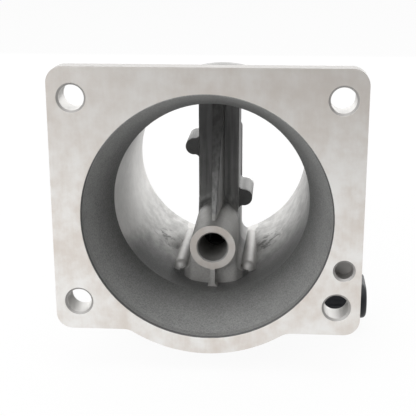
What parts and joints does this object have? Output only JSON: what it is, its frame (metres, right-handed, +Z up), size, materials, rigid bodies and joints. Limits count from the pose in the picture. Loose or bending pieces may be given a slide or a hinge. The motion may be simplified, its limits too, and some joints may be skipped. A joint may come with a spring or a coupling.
{
  "type": "mass airflow sensor",
  "caption": "Cast flanged air duct with a bypass tube on a bridge across its bore and a black sensing module with an oval electrical socket underneath.",
  "frame": {"origin": "centre of the rectangular bolt pattern, on the machined inlet face of the flange; the bore axis lies 5.45 mm below it", "axes": "+Y along the bore the way the air flows, +X to the side that the electrical socket points to, +Z up, away from the module"},
  "size_m": [0.1103, 0.0975, 0.1063],
  "materials": {
    "cast_body": "as cast, satin, with a machined inlet face",
    "pressed_plate": "rolled sheet",
    "plated_steel": "zinc plated",
    "black_plastic": "moulded glass-filled plastic, semi-gloss",
    "holder_plastic": "moulded, matt",
    "seal_rubber": "moulded rubber",
    "tinned_brass": "tin plated",
    "post_steel": "drawn wire",
    "element_coating": "glass-coated platinum winding",
    "board_ceramic": "alumina with printed tracks",
    "component_black": "moulded component body",
    "component_tan": "fired ceramic"
  },
  "bodies": {
    "root": {"housing": "cast_body", "bypass_cover": "pressed_plate", "bypass_cover_screws": "plated_steel", "module_case": "black_plastic", "module_lid": "black_plastic", "module_screws": "plated_steel", "screw_sleeves": "plated_steel", "seal_ring": "seal_rubber", "sensor_holder": "holder_plastic", "sensor_post_1": "post_steel", "sensor_post_2": "post_steel", "sensor_post_3": "post_steel", "sensor_post_4": "post_steel", "temperature_element": "element_coating", "hot_wire_element": "element_coating", "base_plate": "pressed_plate", "circuit_board": "board_ceramic", "signal_chip": "component_black", "regulator_chip": "component_black", "board_capacitors": "component_tan", "board_resistors": "component_black", "terminal_1": "tinned_brass", "terminal_2": "tinned_brass", "terminal_3": "tinned_brass", "terminal_4": "tinned_brass"}
  },
  "joints": []
}
